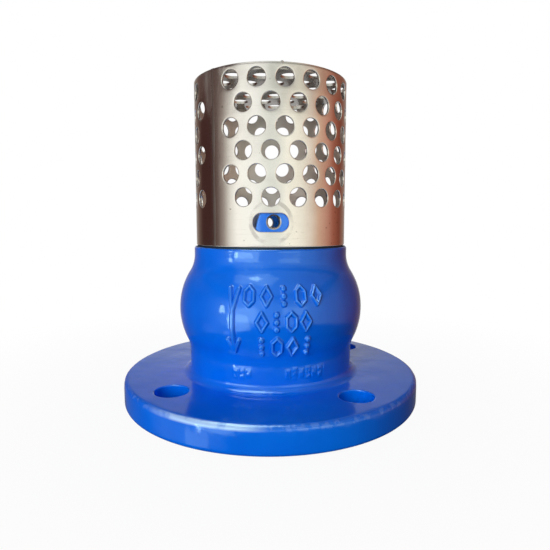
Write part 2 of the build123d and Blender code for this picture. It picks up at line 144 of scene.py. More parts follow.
# Distance in from an edge and depth below the face, across the edge's rounding
ROUNDING = ((0.0, EDGE_ROUND), (0.3 * EDGE_ROUND, 0.3 * EDGE_ROUND), (EDGE_ROUND, 0.0))
PUNCH_DENT = 0.1
PUNCH_REACH = 1.0
TUBE_WAVE = 0.05
TUBE_WAVE_LENGTH = 28.0
COLUMNS_PER_CELL = 16
LINES_PER_CELL = 12

# Spring
WIRE_R = 0.8
SPRING_R = SPRING_OUT_R - WIRE_R
ACTIVE_TURNS = 5.5
END_TURNS = 1.0

# Camera
CAMERA_PLACE = (1.75, -295.4, 112.0)
CAMERA_PITCH = 6.344
CAMERA_YAW = -0.215
LENS = 29.98


# ---------------------------------------------------------------- mesh helpers

def at(azimuth, radius, z):
    """A point from azimuth in degrees and millimetres, in metres."""
    turn = math.radians(azimuth)
    return (radius * math.sin(turn) * MM, -radius * math.cos(turn) * MM, z * MM)


def smoothstep(low, high, value):
    t = min(max((value - low) / (high - low), 0.0), 1.0)
    return t * t * (3 - 2 * t)


def wave(azimuth, radius, z, length, seed):
    """Smooth noise from -1 to 1 at a point, with features about length across."""
    point = Vector(at(azimuth, radius, z)) / (MM * length)
    return noise.noise(point + Vector((seed, 2.3 * seed, 5.1 * seed)))


def make_object(name, points, faces, materials, body, replaced=(), sharp=35.0, slots=None):
    """A mesh piece that rides on a body and stands for the named CAD nodes."""
    mesh = bpy.data.meshes.new(name)
    mesh.from_pydata(points, [], faces)
    for material in materials:
        mesh.materials.append(material)
    if slots is not None:
        mesh.polygons.foreach_set("material_index", slots)
    mesh.validate()
    mesh.shade_smooth()
    mesh.set_sharp_from_angle(angle=math.radians(sharp))
    piece = bpy.data.objects.new(name, mesh)
    bpy.context.scene.collection.objects.link(piece)
    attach(piece, body)
    if replaced:
        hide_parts(*replaced)
    return piece


def round_corners(corners, segments=4):
    """A polyline from (radius, z, fillet) corners, each filleted corner replaced by an arc."""
    line = []
    for index, (x, y, fillet) in enumerate(corners):
        if fillet == 0 or index in (0, len(corners) - 1):
            line.append((x, y))
            continue
        here = Vector((x, y))
        back = (Vector(corners[index - 1][:2]) - here).normalized()
        ahead = (Vector(corners[index + 1][:2]) - here).normalized()
        half = back.angle(ahead) / 2
        centre = here + (back + ahead).normalized() * fillet / math.sin(half)
        start = here + back * fillet / math.tan(half) - centre
        end = here + ahead * fillet / math.tan(half) - centre
        for step in range(segments + 1):
            t = step / segments
            arm = start.slerp(end, t).normalized() * fillet
            line.append(tuple(centre + arm))
    return line


def steps(start, end, count):
    return [start + (end - start) * index / count for index in range(count + 1)]


def arc(centre, radius, start, end, step):
    """Points on a circle from angle start to end, in degrees, about step millimetres apart."""
    count = max(2, round(abs(math.radians(end - start)) * radius / step))
    angles = [math.radians(angle) for angle in steps(start, end, count)]
    return [(centre[0] + radius * math.cos(a), centre[1] + radius * math.sin(a)) for a in angles]


def straight(start, end, step):
    """Points from start to end, both left out, about step apart."""
    count = max(1, round(math.dist(start, end) / step))
    across, up = (steps(*ends, count) for ends in zip(start, end))
    return list(zip(across, up))[1:-1]


def without_repeats(points, closest=0.01):
    kept = [points[0]]
    for point in points[1:]:
        if math.dist(point, kept[-1]) > closest:
            kept.append(point)
    return kept


def rings_of(count, around):
    """Vertex numbers of rings that were made one after the other."""
    return [list(range(row * around, (row + 1) * around)) for row in range(count)]


def ring_faces(rings):
    """Quads between closed rings of vertices."""
    faces = []
    for lower, upper in zip(rings, rings[1:]):
        for index, here in enumerate(lower):
            beside = (index + 1) % len(lower)
            faces.append((here, lower[beside], upper[beside], upper[index]))
    return faces


def capped_faces(rings):
    """Quads between closed rings, and a face over each end."""
    return [*ring_faces(rings), tuple(reversed(rings[0])), tuple(rings[-1])]


def face_outwards(data):
    mesh = bmesh.new()
    mesh.from_mesh(data)
    bmesh.ops.recalc_face_normals(mesh, faces=mesh.faces)
    mesh.to_mesh(data)
    mesh.free()


# ---------------------------------------------------------------- the casting

def neck_arc(neck):
    """Radius of the hollow arc with its waist at neck that runs smoothly into the belly."""
    run = neck[0] - (BELLY_R - BELLY_ARC)
    rise = neck[1] - BELLY_Z
    return (run**2 + rise**2 - BELLY_ARC**2) / (2 * (BELLY_ARC - run))


def outer_line():
    """The casting's skin from the flange's edge to its shoulder, as (radius, z) points."""
    belly = (BELLY_R - BELLY_ARC, BELLY_Z)
    low_arc = neck_arc(LOW_NECK)
    top_arc = neck_arc(TOP_NECK)
    low_centre = (LOW_NECK[0] + low_arc, LOW_NECK[1])
    top_centre = (TOP_NECK[0] + top_arc, TOP_NECK[1])
    foot_centre = (LOW_NECK[0] + FOOT_FILLET, FLANGE_TOP + FOOT_FILLET)
    low_turn = math.degrees(math.atan2(belly[1] - low_centre[1], low_centre[0] - belly[0]))
    top_turn = math.degrees(math.atan2(top_centre[1] - belly[1], top_centre[0] - belly[0]))
    lip_z = SHOULDER_Z - LIP_EDGE
    flange_top = [(FLANGE_R - FLANGE_EDGE, FLANGE_TOP), (foot_centre[0], FLANGE_TOP)]
    return without_repeats(
        arc((FLANGE_R - FLANGE_EDGE, FLANGE_TOP - FLANGE_EDGE), FLANGE_EDGE, 0, 90, 0.4)
        + straight(*flange_top, 1.6)
        + arc(foot_centre, FOOT_FILLET, 270, 180, 0.4)
        + straight((LOW_NECK[0], foot_centre[1]), LOW_NECK, 0.5)
        + arc(low_centre, low_arc, 180, 180 - low_turn, 0.5)
        + arc(belly, BELLY_ARC, -low_turn, top_turn, 0.33)
        + arc(top_centre, top_arc, 180 + top_turn, 180, 0.6)
        + straight(TOP_NECK, (TOP_NECK[0], lip_z), 0.8)
        + arc((TOP_NECK[0] - LIP_EDGE, lip_z), LIP_EDGE, 0, 90, 0.25)
    )


def inner_line():
    """The casting's machined register and flow passage, from the shoulder down and round to the rim."""
    belly = (BELLY_R - BELLY_ARC, BELLY_Z)
    inner_arc = BELLY_ARC - WALL
    start = math.degrees(math.asin((CHAMBER_START_Z - BELLY_Z) / inner_arc))
    end = math.degrees(math.asin((CEILING_Z - BELLY_Z) / inner_arc))
    ceiling_r = belly[0] + inner_arc * math.cos(math.radians(end))
    start_r = belly[0] + inner_arc * math.cos(math.radians(start))
    top = [
        (LAND_R, SHOULDER_Z, 0),
        (LAND_R, TUBE_LOW, 0.2),
        (SPIGOT_R, TUBE_LOW, 0),
        (SPIGOT_R, SPIGOT_TOP, 0.6),
        (SEAT_R, SPIGOT_TOP, 0.6),
        (SEAT_R, LEDGE_TOP, 0),
        (LEDGE_R, LEDGE_TOP, 0),
        (LEDGE_R, CEILING_Z, 0.5),
        (ceiling_r, CEILING_Z, 0),
    ]
    bottom = [
        (start_r, CHAMBER_START_Z, 0),
        (THROAT_R, OUTLET_SHOULDER_Z + 1, 0.8),
        (THROAT_R, OUTLET_SHOULDER_Z, 0),
        (OUTLET_R, OUTLET_SHOULDER_Z, 0),
        (OUTLET_R, CLIP_TOP, 0),
        (CLIP_GROOVE_R, CLIP_TOP, 0),
        (CLIP_GROOVE_R, CLIP_Z, 0),
        (OUTLET_R, CLIP_Z, 0),
        (OUTLET_R, 0, 0.6),
        (RAISED_FACE_R, 0, 0.4),
        (RAISED_FACE_R, RAISED_FACE_H, 0),
        (FLANGE_R - FLANGE_EDGE, RAISED_FACE_H, 0),
    ]
    rim_centre = (FLANGE_R - FLANGE_EDGE, RAISED_FACE_H + FLANGE_EDGE)
    return without_repeats(
        round_corners(top)
        + arc(belly, inner_arc, end, start, 1.5)
        + round_corners(bottom)
        + arc(rim_centre, FLANGE_EDGE, -90, 0, 0.4)
        + straight((FLANGE_R, RAISED_FACE_H + FLANGE_EDGE), (FLANGE_R, FLANGE_TOP - FLANGE_EDGE), 2.0)
    )


def stroke(u, v, start, end):
    """Distance from (u, v) to the line between two points."""
    ax, ay = start
    bx, by = end[0] - ax, end[1] - ay
    t = min(max(((u - ax) * bx + (v - ay) * by) / (bx * bx + by * by), 0.0), 1.0)
    return math.hypot(u - ax - t * bx, v - ay - t * by)


def polygon_ring(u, v, sides, half_width, half_height, start):
    """Distance to the outline of a stretched regular polygon."""
    corners = []
    for index in range(sides):
        turn = math.radians(start + 360 * index / sides)
        corners.append((half_width * math.cos(turn), half_height * math.sin(turn)))
    return min(stroke(u, v, corners[i - 1], corners[i]) for i in range(sides))


def mark_distance(kind, u, v):
    """Distance from (u, v) to the middle line of a mark drawn about the origin."""
    if kind == "hexagon":
        return polygon_ring(u, v, 6, 3.0, 5.0, 90)
    if kind == "diamond":
        return polygon_ring(u, v, 4, 2.9, 4.9, 0)
    return min(math.hypot(u, v - level) for level in (-3.9, 0.0, 3.9)) - 0.7


def arrow_distance(u, z):
    """Distance to the flow arrow: forked tail, long shaft, head towards the flange."""
    shaft = stroke(u, z, (0, 46), (0, 67))
    fork = min(stroke(u, z, (0, 66), (side, 77.5)) for side in (-2.7, 2.7))
    head = min(stroke(u, z, (0, 43.3), (side, 50)) for side in (-3.2, 3.2))
    return max(min(shaft, fork, head) - 0.35, 0.0)


def faint_relief(azimuth, z):
    """Worn, shallow foundry pads on the hub band, pitted where the coating ran over them."""
    height = 0.0
    for middle, count in FAINT_ROWS:
        for index in range(count):
            u = (azimuth - middle - (index - (count - 1) / 2) * FAINT_STEP) * math.radians(LOW_NECK[0])
            distance = max(abs(u) - 1.2, abs(z - FAINT_Z) - (3.2 if index % 2 else 2.4))
            height = max(height, FAINT_HEIGHT * (1 - smoothstep(-0.2, 0.5, distance)))
    return height * (0.75 + 0.6 * wave(azimuth, LOW_NECK[0], z, 1.8, 11))


def mark_relief(azimuth, z):
    """Height of the raised marks above the skin."""
    if not (RELIEF_AZIMUTHS[0] < azimuth < RELIEF_AZIMUTHS[1] and 24 < z < 84):
        return 0.0
    distance = arrow_distance((azimuth - ARROW_AZIMUTH) * math.radians(BELLY_R), z)
    for row, (middle, row_z, step, count) in enumerate(MARK_ROWS):
        if abs(z - row_z) < 8:
            for index in range(count):
                place = middle + (index - (count - 1) / 2) * step
                u = (azimuth - place) * math.radians(BELLY_R)
                if abs(u) < 6:
                    kind = MARK_KINDS[(index + row) % len(MARK_KINDS)]
                    distance = min(distance, mark_distance(kind, u, z - row_z))
    share = min(max(distance, 0.0) / MARK_HALF, 1.0)
    raised = MARK_HEIGHT * (1 - share**2) ** 1.5
    return max(raised, faint_relief(azimuth, z))


def parting_relief(azimuth, z):
    """The thin ridge where the two halves of the mould met, stronger and rougher on the hub."""
    if z < FLANGE_TOP + 1:
        return 0.0
    side = min(abs(azimuth - middle) for middle in PARTING_AZIMUTHS)
    offset = side * math.radians(BELLY_R)
    ridge = PARTING_HEIGHT * (1 - smoothstep(0.1, PARTING_HALF, offset))
    rough = 0.6 + 0.5 * wave(azimuth, BELLY_R, z, 4.0, 7)
    return ridge * rough * (1.0 if z < LOW_NECK[1] + 12 else 0.45)


def casting_columns():
    """Azimuths of the casting's mesh columns, close together where there is relief."""
    columns, azimuth = [], RELIEF_AZIMUTHS[0]
    while azimuth < RELIEF_AZIMUTHS[0] + 360 - 0.2:
        columns.append(azimuth)
        near_parting = min(abs(azimuth - middle) for middle in PARTING_AZIMUTHS)
        if azimuth < RELIEF_AZIMUTHS[1]:
            azimuth += 0.34
        elif near_parting < 1.3:
            azimuth += 0.22
        else:
            azimuth += min(1.5, max(0.22, near_parting - 1.2))
    return columns


def rim_wear(azimuth, radius, z):
    """How far, from 0 to 1, the flange's rounded edge is drawn in: it is wavy, with a few small knocks."""
    share = smoothstep(FLANGE_R - RIM_WIDTH, FLANGE_R - 0.4 * RIM_WIDTH, radius)
    share *= smoothstep(RAISED_FACE_H + 8, FLANGE_TOP - 4, z)
    slow = 0.5 + 0.5 * wave(azimuth, FLANGE_R, 0, 11, 8)
    quick = max(wave(azimuth, FLANGE_R, 0, 2.6, 9), 0.0)
    return share * min(0.65 * slow + 0.5 * quick, 1.0)


def casting_points(section, columns, outer_count):
    """The turned section's points, with relief and waves on its outer part."""
    points = []
    for row, (radius, z) in enumerate(section):
        before = Vector(section[row - 1])
        after = Vector(section[(row + 1) % len(section)])
        along = (after - before).normalized()
        normal = Vector((along.y, -along.x))
        for azimuth in columns:
            height = 0.0
            if row < outer_count:
                height = WAVE_HEIGHT * wave(azimuth, radius, z, WAVE_LENGTH, 1)
                height += 0.3 * WAVE_HEIGHT * wave(azimuth, radius, z, WAVE_LENGTH / 3, 2)
                if radius > FLANGE_R - RIM_WIDTH:
                    height *= smoothstep(FLANGE_R, FLANGE_R - RIM_WIDTH, radius)
                    height -= RIM_WAVE * rim_wear(azimuth, radius, z)
                if z > SHOULDER_Z - 3:
                    height *= smoothstep(SHOULDER_Z, SHOULDER_Z - 3, z)
                if radius < BELLY_R + 2:
                    height += mark_relief(azimuth, z) + parting_relief(azimuth, z)
            points.append(at(azimuth, radius + normal.x * height, z + normal.y * height))
    return points


def hole_cutter(azimuth):
    """A bolt-hole cutter with rounded mouths, as the coating leaves them."""
    around = 64
    radius = BOLT_HOLE_R + HOLE_LIP
    line = [(radius, 0.0)]
    line += arc((radius, RAISED_FACE_H + HOLE_LIP), HOLE_LIP, 262, 180, 0.25)
    line += arc((radius, FLANGE_TOP - HOLE_LIP), HOLE_LIP, 180, 98, 0.25)
    line += [(radius, FLANGE_TOP + 4)]
    centre = Vector(at(azimuth, BOLT_CIRCLE_R, 0))
    points = []
    for reach, z in line:
        points += [centre + Vector(at(index * 360 / around, reach, z)) for index in range(around)]
    data = bpy.data.meshes.new("cutter")
    data.from_pydata(points, [], capped_faces(rings_of(len(line), around)))
    face_outwards(data)
    cutter = bpy.data.objects.new("cutter", data)
    bpy.context.scene.collection.objects.link(cutter)
    return cutter


def cut_holes(piece, cutters):
    for cutter in cutters:
        modifier = piece.modifiers.new("hole", "BOOLEAN")
        modifier.operation = "DIFFERENCE"
        modifier.solver = "EXACT"
        modifier.object = cutter
    graph = bpy.context.evaluated_depsgraph_get()
    whole = piece.data
    piece.data = bpy.data.meshes.new_from_object(piece.evaluated_get(graph))
    piece.modifiers.clear()
    for data in [whole] + [cutter.data for cutter in cutters]:
        bpy.data.meshes.remove(data)


def make_casting(paint, machined):
    outer = outer_line()
    section = without_repeats(outer + inner_line())
    columns = casting_columns()
    points = casting_points(section, columns, len(outer))
    rings = rings_of(len(section), len(columns))
    faces = ring_faces(rings + rings[:1])
    piece = make_object("casting", points, faces, [paint, machined], "housing", ["valve_body"])
    cut_holes(piece, [hole_cutter(BOLT_AZIMUTH + 360 / HOLE_COUNT * index) for index in range(HOLE_COUNT)])
    piece.data.set_sharp_from_angle(angle=math.radians(35))
    # Large flat faces keep their normals where they meet small rounded ones
    modifier = piece.modifiers.new("weighted", "WEIGHTED_NORMAL")
    modifier.keep_sharp = True
    modifier.weight = 80
    return piece


# ---------------------------------------------------------------- sheets bent round the axis

class Sheet:
    """A plate of even thickness bent round the axis, built once for its outer and once for its inner face.

    A vertex is an azimuth, a height and a depth below the face, so rounded edges are part of the plate.
    """

    def __init__(self, radius, thickness, wave_height=0.0):
        self.radius = radius
        self.thickness = thickness
        self.wave_height = wave_height
        self.places = []
        self.found = {}
        self.faces = []

    def vertex(self, azimuth, z, depth=0.0):
        key = (round(azimuth, 4), round(z, 4), round(depth, 3))
        if key not in self.found:
            self.found[key] = len(self.places)
            self.places.append((azimuth, z, depth))
        return self.found[key]

    def strip(self, lower, upper):
        """Quads between two rows of vertices of the same length."""
        for index in range(len(lower) - 1):
            face = (lower[index], lower[index + 1], upper[index + 1], upper[index])
            if len(set(face)) == 4:
                self.faces.append(face)

    def grid(self, azimuths, heights):
        """Plain quads over a rectangle; a height is (z, depth)."""
        rows = [[self.vertex(a, z, depth) for a in azimuths] for z, depth in heights]
        for lower, upper in zip(rows, rows[1:]):
            self.strip(lower, upper)

    def cell(self, outline, centre, edge_point):
        """Rings of quads from a rectangle's outline in to a hole.

        edge_point gives the hole edge's (along, up) offset from the centre in millimetres for a direction.
        """
        scale = math.radians(self.radius)
        rings = []
        for out, depth in self.edge_rings():
            ring = []
            for azimuth, z in outline:
                along = (azimuth - centre[0]) * scale
                up = z - centre[1]
                edge = Vector(edge_point(along, up))
                grown = edge + edge_normal(edge_point, along, up) * out
                ring.append(self.vertex(centre[0] + grown.x / scale, centre[1] + grown.y, depth))
            rings.append(ring)
        rings.append([self.vertex(azimuth, z) for azimuth, z in outline])
        for inner, outer in zip(rings, rings[1:]):
            self.strip(outer + outer[:1], inner + inner[:1])

    def edge_rings(self):
        """Distance out from a hole's edge and depth, from the edge outwards."""
        spread = [EDGE_ROUND + 0.25, EDGE_ROUND + 0.6]
        rings = [(out, depth + self.dent(out)) for out, depth in ROUNDING]
        return rings + [(out, self.dent(out)) for out in spread]

    def dent(self, out):
        """How far the punch has drawn the face in, at a distance out from a hole."""
        return PUNCH_DENT * math.exp(-out / PUNCH_REACH * 2.2) if self.wave_height else 0.0

    def bend(self):
        """Points of both faces, all the quads with the open edges closed, and the quads' materials."""
        points, count = [], len(self.places)
        for inner in (False, True):
            for azimuth, z, depth in self.places:
                lift = self.wave_height * wave(azimuth, self.radius, z, TUBE_WAVE_LENGTH, 3)
                lift *= smoothstep(0, 14, TUBE_TOP - z) * smoothstep(0, 14, z - TUBE_LOW)
                radius = self.radius - self.thickness + depth if inner else self.radius - depth
                points.append(at(azimuth, radius + lift - abs(self.wave_height), z))
        faces = list(self.faces)
        faces += [tuple(v + count for v in reversed(face)) for face in self.faces]
        slots = [0] * len(self.faces) + [1] * len(self.faces)
        edges = {(face[i - 1], face[i]) for face in self.faces for i in range(4)}
        open_edges = sorted(edge for edge in edges if edge[::-1] not in edges)
        faces += [(b, a, a + count, b + count) for a, b in open_edges]
        slots += [0] * (len(faces) - len(slots))
        return points, faces, slots


def edge_normal(edge_point, along, up):
    """Outward direction of a hole's edge, seen from its middle."""
    def turned(turn):
        cosine, sine = math.cos(turn), math.sin(turn)
        return Vector(edge_point(along * cosine - up * sine, up * cosine + along * sine))

    tangent = (turned(0.02) - turned(-0.02)).normalized()
    return Vector((tangent.y, -tangent.x))


def round_hole(along, up):
    size = math.hypot(along, up)
    return (HOLE_R * along / size, HOLE_R * up / size)


def slot_hole(along, up):
    """The edge of an obround slot in the direction of (along, up)."""
    size = math.hypot(along, up)
    dx, dy = along / size, up / size
    if abs(dy) > 1e-9:
        reach = SLOT_R / abs(dy)
        if abs(dx) * reach <= SLOT_HALF_FLAT:
            return (dx * reach, dy * reach)
    middle = math.copysign(SLOT_HALF_FLAT, dx)
    run = dx * middle
    reach = run + math.sqrt(max(run * run - SLOT_HALF_FLAT**2 + SLOT_R**2, 0.0))
    return (dx * reach, dy * reach)


def outline_of(azimuths, heights):
    """A rectangle's outline, anticlockwise from its lower left corner."""
    low, high = heights[0], heights[-1]
    left, right = azimuths[0], azimuths[-1]
    points = [(a, low) for a in azimuths[:-1]]
    points += [(right, z) for z in heights[:-1]]
    points += [(a, high) for a in reversed(azimuths[1:])]
    points += [(left, z) for z in reversed(heights[1:])]
    return points


def make_strainer(steel, inside):
    sheet = Sheet(TUBE_R, SHEET, TUBE_WAVE)
    punch_start = FIRST_AZIMUTH - HOLE_STEP / 2
    punch_end = punch_start + HOLE_STEP * HOLES_PER_ROW + HOLE_STEP / 2
    slit = math.degrees(SEAM_HALF_GAP / TUBE_R)
    before = steps(SEAM_AZIMUTH + slit, punch_start, 5)
    middle = steps(punch_start, punch_end, (2 * HOLES_PER_ROW + 1) * COLUMNS_PER_CELL // 2)
    after = steps(punch_end, SEAM_AZIMUTH - slit + 360, 6)
    lines = before[:-1] + middle + after[1:]
    first = len(before) - 1
    for row in range(ROWS):
        middle_z = TOP_ROW_Z - row * ROW_PITCH
        heights = steps(middle_z - ROW_PITCH / 2, middle_z + ROW_PITCH / 2, LINES_PER_CELL)
        shift = first + (row % 2) * COLUMNS_PER_CELL // 2
        end = shift + HOLES_PER_ROW * COLUMNS_PER_CELL
        for start in range(shift, end, COLUMNS_PER_CELL):
            azimuths = lines[start:start + COLUMNS_PER_CELL + 1]
            centre = ((azimuths[0] + azimuths[-1]) / 2, middle_z)
            sheet.cell(outline_of(azimuths, heights), centre, round_hole)
        flat = [(z, 0.0) for z in heights]
        sheet.grid(lines[:shift + 1], flat)
        sheet.grid(lines[end:], flat)
    rim = [(TUBE_TOP - away, depth) for away, depth in reversed(ROUNDING)]
    sheet.grid(lines, [(TOP_ROW_Z + ROW_PITCH / 2, 0.0)] + rim)
    add_slot_band(sheet, lines)
    points, faces, slots = sheet.bend()
    piece = make_object(
        "strainer_tube_sheet", points, faces, [steel, inside], "housing", ["strainer_tube"], 50, slots
    )


def add_slot_band(sheet, lines):
    """The plain band below the holes, with its slots."""
    band_top = TOP_ROW_Z - (ROWS - 0.5) * ROW_PITCH
    slot_low = SLOT_Z - (band_top - SLOT_Z)
    heights = steps(slot_low, band_top, 14)
    flat = [(z, 0.0) for z in heights]
    cursor, reach = 0, 15
    for slot_azimuth in SLOT_AZIMUTHS:
        nearest = min(range(len(lines)), key=lambda i: abs(lines[i] - slot_azimuth))
        start, end = nearest - reach, nearest + reach
        sheet.grid(lines[cursor:start + 1], flat)
        sheet.cell(outline_of(lines[start:end + 1], heights), (slot_azimuth, SLOT_Z), slot_hole)
        cursor = end
    sheet.grid(lines[cursor:], flat)
    low = [(TUBE_LOW + away, depth) for away, depth in ROUNDING]
    plain = [(z, 0.0) for z in steps(TUBE_LOW + EDGE_ROUND, slot_low, 5)[1:]]
    sheet.grid(lines, low + plain)


def make_seam(weld):
    """A ground seam weld: a low rippled bead outside, a fuller one inside."""
    outside = ((-1.3, -0.03), (-0.9, 0.0), (-0.4, 0.02), (0.4, 0.02), (0.9, 0.0), (1.3, -0.03))
    inside = ((1.3, -0.02), (0.8, 0.12), (0.0, 0.18), (-0.8, 0.12), (-1.3, -0.02))
    points, heights = [], steps(TUBE_LOW, TUBE_TOP, 240)
    for z in heights:
        ripple = 1 + 0.25 * math.sin(z * 5.2) + 0.35 * wave(SEAM_AZIMUTH, TUBE_R, z, 6, 5)
        section = [(across, TUBE_R + proud * ripple) for across, proud in outside]
        section += [(across, TUBE_R - SHEET - proud * ripple) for across, proud in inside]
        for across, radius in section:
            points.append(at(SEAM_AZIMUTH + math.degrees(across / TUBE_R), radius - TUBE_WAVE, z))
    faces = capped_faces(rings_of(len(heights), len(outside) + len(inside)))
    piece = make_object("seam_bead", points, faces, [weld], "housing", ["strainer_seam_weld"])


# ---------------------------------------------------------------- the strainer lugs

def lug_outline(along, up):
    """The tab's edge in the direction of (along, up) from its hole."""
    size = math.hypot(along, up)
    dx, dy = along / size, up / size
    low, high = SPIGOT_TOP - 1.5 - LUG_HOLE_Z, LUG_TOP - LUG_HOLE_Z
    slope = (LUG_HALF_BASE - LUG_HALF_TOP) / (LUG_TOP - SHOULDER_Z)
    half_here = LUG_HALF_TOP + slope * high
    reach = half_here / (abs(dx) + slope * dy) if abs(dx) + slope * dy > 1e-9 else 1e9
    if dy > 0:
        reach = min(reach, high / dy)
    if dy < 0:
        reach = min(reach, low / dy)
    return (dx * reach, dy * reach)


def make_lug(name, node, azimuth, paint, bare):
    """A tab of the casting with its tapped hole, the thread cut as real turns."""
    around, across = 72, 7
    scale = math.radians(SPIGOT_R)
    thickness = SPIGOT_R - SEAT_R
    mouth = THREAD_CORE_R + THREAD_DEPTH + 0.25
    points = []

    def add_ring(place):
        for index in range(around):
            along, up, depth = place(2 * math.pi * index / around)
            points.append(at(azimuth + along / scale, SPIGOT_R - depth, LUG_HOLE_Z + up))

    def edge(turn):
        point = lug_outline(math.cos(turn), math.sin(turn))
        soft = 0.94 + 0.06 * abs(math.cos(2 * turn))
        return point[0] * soft, point[1] * soft

    def face_ring(share, depth, trim=0.0):
        def place(turn):
            x, y = edge(turn)
            length = math.hypot(x, y)
            radius = mouth + (length - trim - mouth) * share
            return radius * x / length, radius * y / length, depth
        add_ring(place)

    def thread_ring(depth):
        def place(turn):
            phase = (depth / THREAD_PITCH + turn / (2 * math.pi)) % 1.0
            radius = THREAD_CORE_R + THREAD_DEPTH * (1 - abs(2 * phase - 1))
            return radius * math.cos(turn), radius * math.sin(turn), depth
        add_ring(place)

    for share in steps(0, 1, across):
        face_ring(share, 0.0, 0.5)
    for share, depth, trim in ((1.0, 0.15, 0.15), (1.0, 0.5, 0.0), (1.0, thickness - 0.3, 0.0)):
        face_ring(share, depth, trim)
    for share in steps(1, 0, across):
        face_ring(share, thickness - 0.05)
    painted_faces = len(points) - around
    for depth in steps(thickness - 0.3, 0.3, 34):
        thread_ring(depth)
    rings = rings_of(len(points) // around, around)
    faces = ring_faces(rings + rings[:1])
    slots = [0] * painted_faces + [1] * (len(faces) - painted_faces)
    piece = make_object(name, points, faces, [paint, bare], "housing", [node], slots=slots)
    face_outwards(piece.data)
    return piece


# ---------------------------------------------------------------- spring

def make_spring(steel):
    """A compression spring with closed and ground ends."""
    low, high = SPRING_LOW, SPRING_TOP
    turns = ACTIVE_TURNS + 2 * END_TURNS
    per_turn, around = 48, 12
    closed_pitch = 1.1 * WIRE_R
    gap = (high - low - 2 * WIRE_R) - 2 * END_TURNS * closed_pitch
    line = []
    for turn in steps(0.0, turns, int(turns * per_turn)):
        closed = closed_pitch * (min(turn, END_TURNS) + max(turn - END_TURNS - ACTIVE_TURNS, 0.0))
        active = gap * min(max((turn - END_TURNS) / ACTIVE_TURNS, 0.0), 1.0)
        line.append((360 * turn, closed + active))
    scale = (high - low - 1.2 * WIRE_R) / line[-1][1]
    points = []
    for azimuth, rise in line:
        centre_z = low + 0.6 * WIRE_R + rise * scale
        for index in range(around):
            turn = 2 * math.pi * index / around
            height = min(max(centre_z + WIRE_R * math.sin(turn), low), high)
            points.append(at(azimuth, SPRING_R + WIRE_R * math.cos(turn), height))
    rings = rings_of(len(line), around)
    faces = [*ring_faces(rings), tuple(rings[0]), tuple(reversed(rings[-1]))]
    piece = make_object("spring_coil", points, faces, [steel], "housing", ["closing_spring"], sharp=40)
    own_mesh(piece)


# ---------------------------------------------------------------- materials

ROLLED_STEEL = (0.78, 0.755, 0.71)


class Tree:
    """A short way to build a node tree. Colours are given without their alpha."""

    def __init__(self, tree):
        self.tree = tree

    def fill(self, socket, value):
        if isinstance(value, bpy.types.NodeSocket):
            self.tree.links.new(value, socket)
        else:
            socket.default_value = (*value, 1.0) if socket.type == "RGBA" else value

    def add(self, kind, inputs=(), **values):
        node = self.tree.nodes.new(kind)
        for name, value in values.items():
            setattr(node, name, value)
        for name, value in dict(inputs).items():
            self.fill(node.inputs[name], value)
        return node

    def ramp(self, value, low, high, to_low=0.0, to_high=1.0, shape="LINEAR"):
        inputs = {"Value": value, "From Min": low, "From Max": high, "To Min": to_low, "To Max": to_high}
        return self.add("ShaderNodeMapRange", inputs, interpolation_type=shape).outputs[0]

    def mix(self, share, first, second, blend="MIX"):
        inputs = {0: share, 6: first, 7: second}
        return self.add("ShaderNodeMix", inputs, data_type="RGBA", blend_type=blend).outputs[2]

    def math(self, operation, first, second=0.5):
        return self.add("ShaderNodeMath", {0: first, 1: second}, operation=operation).outputs[0]

    def times(self, product, *values):
        for value in values:
            product = self.math("MULTIPLY", product, value)
        return product

    def length(self, x, y):
        return self.math("SQRT", self.math("ADD", self.times(x, x), self.times(y, y)))


class Material(Tree):
    """One material's node tree, with its shader and its coordinates."""

    def __init__(self, name):
        self.material = bpy.data.materials.new(name)
        self.material.use_nodes = True
        super().__init__(self.material.node_tree)
        self.shader = self.tree.nodes["Principled BSDF"]
        self.place = self.add("ShaderNodeTexCoord").outputs["Object"]

    def axes(self):
        """Object coordinates in millimetres, as x, y and z."""
        scaled = self.add("ShaderNodeVectorMath", {0: self.place, "Scale": 1 / MM}, operation="SCALE")
        return self.add("ShaderNodeSeparateXYZ", {0: scaled.outputs[0]}).outputs

    def set(self, **values):
        """Gives the shader's sockets links or constants."""
        for name, value in values.items():
            self.fill(self.shader.inputs[name.replace("_", " ")], value)

    def noise(self, scale, detail=2.0, stretch=None, roughness=0.5):
        """Noise from 0 to 1; stretch is a scale along each axis."""
        place = self.place
        if stretch:
            place = self.add("ShaderNodeMapping", {"Vector": place, "Scale": stretch}).outputs[0]
        inputs = {"Vector": place, "Scale": scale, "Detail": detail, "Roughness": roughness}
        return self.add("ShaderNodeTexNoise", inputs).outputs["Fac"]

    def bump(self, *layers):
        """Stacked bumps from (height, strength, distance in millimetres)."""
        normal = None
        for height, strength, distance in layers:
            inputs = {"Height": height, "Strength": strength, "Distance": distance * MM}
            if normal is not None:
                inputs["Normal"] = normal
            normal = self.add("ShaderNodeBump", inputs).outputs[0]
        self.set(Normal=normal)


